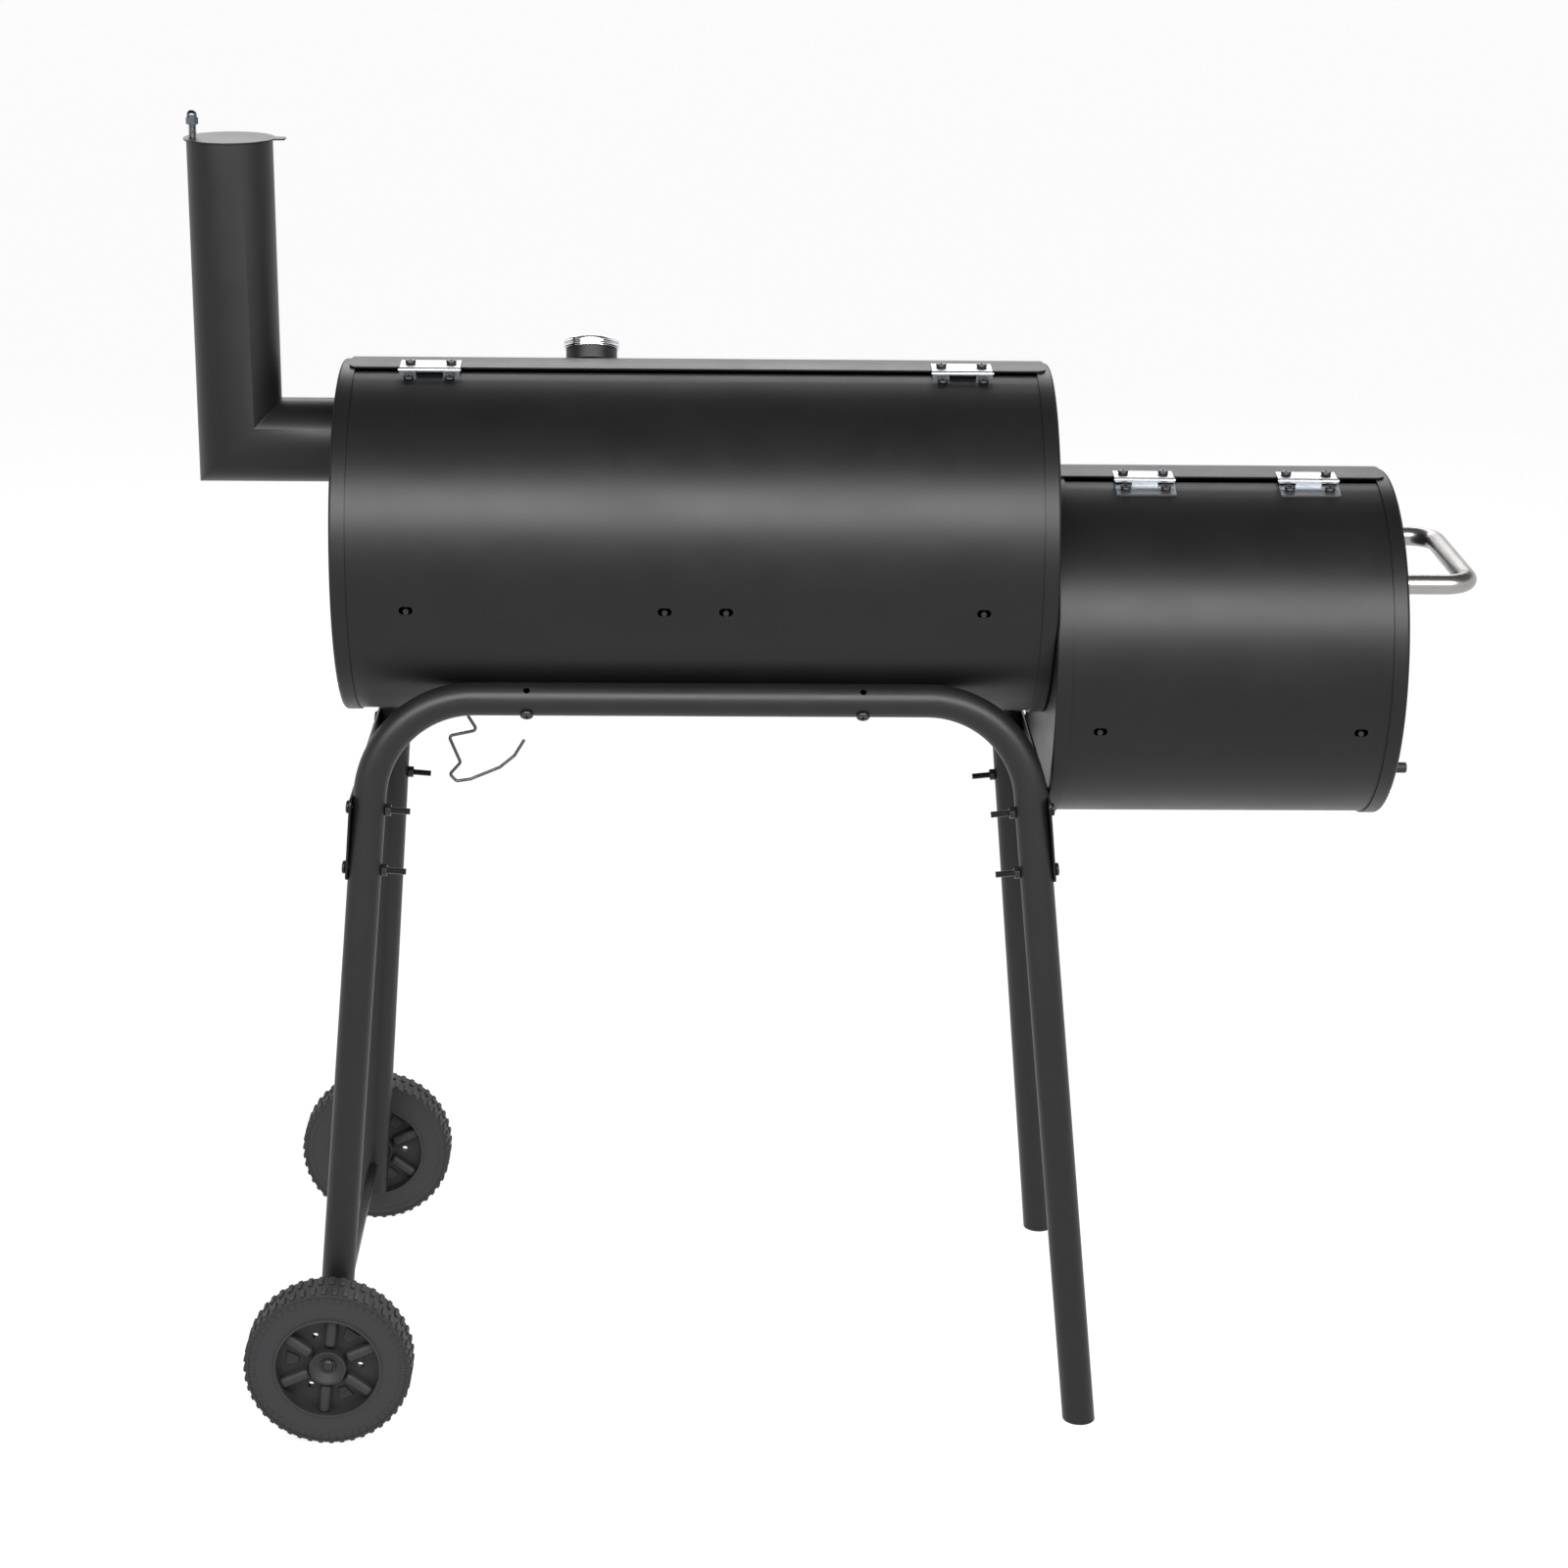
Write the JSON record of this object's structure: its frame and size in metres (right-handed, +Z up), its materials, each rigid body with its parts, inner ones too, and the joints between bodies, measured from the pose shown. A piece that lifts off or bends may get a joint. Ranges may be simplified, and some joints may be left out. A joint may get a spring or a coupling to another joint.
{
  "type": "offset smoker",
  "caption": "Charcoal offset smoker: round cooking chamber on bent tube legs with a lower side firebox, hinged lids, elbow chimney with swivel cap, wheels and a lifting handle.",
  "frame": {"origin": "on the floor, below the middle of the overall width and depth", "axes": "+Z up; -Y is the front, where the lids open, and +Y the rear, with the hinges; +X is the chimney and wheel end, -X the firebox end"},
  "size_m": [1.161, 0.5178, 1.1766],
  "materials": {
    "black_paint": "satin heat-resistant black",
    "black_hardware": "black oxide",
    "zinc": "bright zinc plate",
    "chrome": "polished",
    "stainless": "brushed",
    "wire": "plated wire",
    "grate_enamel": "black enamelled wire",
    "black_plastic": "matte moulded",
    "dial_white": "satin white",
    "needle_red": "satin red",
    "glass": "clear"
  },
  "bodies": {
    "smoker": {"air_damper_pivot": "black_hardware", "axle": "zinc", "axle_nuts": "zinc", "axle_spacers": "zinc", "barrel_bolts": "black_hardware", "barrel_cap_chimney": "black_paint", "barrel_cap_firebox": "black_paint", "barrel_nuts": "black_hardware", "barrel_shell": "black_paint", "chimney_stack": "black_paint", "cooking_grate_chimney": "grate_enamel", "cooking_grate_firebox": "grate_enamel", "damper_acorn_nut": "chrome", "damper_lug": "zinc", "damper_spring": "chrome", "end_handle_screws": "black_hardware", "firebox_cap_inner": "black_paint", "firebox_cap_outer": "black_paint", "firebox_end_handle": "stainless", "firebox_grate": "grate_enamel", "firebox_shell": "black_paint", "fixed_leaf_screws": "black_hardware", "flange_bolts": "black_hardware", "foot_plugs": "black_plastic", "frame_tube_front_foot": "black_paint", "frame_tube_front_wheel": "black_paint", "frame_tube_rear_foot": "black_paint", "frame_tube_rear_wheel": "black_paint", "hinge_fixed_leaves": "zinc", "hinge_pins": "zinc", "strap_bolts": "black_hardware", "strap_foot": "black_paint", "strap_nuts": "black_hardware", "strap_wheel": "black_paint", "tube_joiners": "black_paint"},
    "main_lid": {"main_lid": "black_paint", "main_lid_leaves": "zinc", "main_leaf_screws": "black_hardware", "main_lid_handle": "stainless", "main_handle_screws": "black_hardware", "gauge_body": "black_paint", "gauge_dial": "dial_white", "gauge_glass": "glass", "gauge_bezel": "chrome", "gauge_nut": "zinc"},
    "firebox_lid": {"firebox_lid": "black_paint", "firebox_lid_leaves": "zinc", "firebox_leaf_screws": "black_hardware", "firebox_lid_handle": "stainless", "firebox_handle_screws": "black_hardware"},
    "chimney_damper": {"chimney_damper": "black_paint"},
    "air_damper": {"air_damper": "black_paint", "air_damper_knob": "black_plastic"},
    "wheel_rear": {"wheel_rear": "black_plastic", "wheel_cap_rear": "black_plastic"},
    "wheel_front": {"wheel_front": "black_plastic", "wheel_cap_front": "black_plastic"},
    "gauge_needle": {"gauge_needle": "needle_red"},
    "grease_can_hanger": {"grease_can_hanger": "wire"}
  },
  "joints": [
    {"name": "main_lid_hinge", "type": "hinge", "parent": "smoker", "child": "main_lid", "pos_m": [0.12675, 0.03417, 0.95278], "axis": [-1, 0, 0], "range_deg": [0, 125]},
    {"name": "firebox_lid_hinge", "type": "hinge", "parent": "smoker", "child": "firebox_lid", "pos_m": [-0.34975, 0.03445, 0.85652], "axis": [-1, 0, 0], "range_deg": [0, 125]},
    {"name": "chimney_damper_swivel", "type": "hinge", "parent": "smoker", "child": "chimney_damper", "pos_m": [0.57245, 0, 1.1514], "axis": [0, 0, 1], "range_deg": [-180, 180]},
    {"name": "air_damper_turn", "type": "hinge", "parent": "smoker", "child": "air_damper", "pos_m": [-0.50655, 0, 0.6222], "axis": [1, 0, 0], "range_deg": [0, 60]},
    {"name": "wheel_rear_spin", "type": "hinge", "parent": "smoker", "child": "wheel_rear", "pos_m": [0.45885, 0.2404, 0.0765], "axis": [0, 1, 0], "continuous": true},
    {"name": "wheel_front_spin", "type": "hinge", "parent": "smoker", "child": "wheel_front", "pos_m": [0.45885, -0.2404, 0.0765], "axis": [0, 1, 0], "continuous": true},
    {"name": "gauge_needle_sweep", "type": "hinge", "parent": "main_lid", "child": "gauge_needle", "pos_m": [0.22395, -0.06581, 0.94121], "axis": [0, 0.4067, -0.9135], "range_deg": [0, 270]},
    {"name": "hanger_swing", "type": "hinge", "parent": "smoker", "child": "grease_can_hanger", "pos_m": [0.33865, 0, 0.6382], "axis": [1, 0, 0], "range_deg": [-20, 20]}
  ]
}
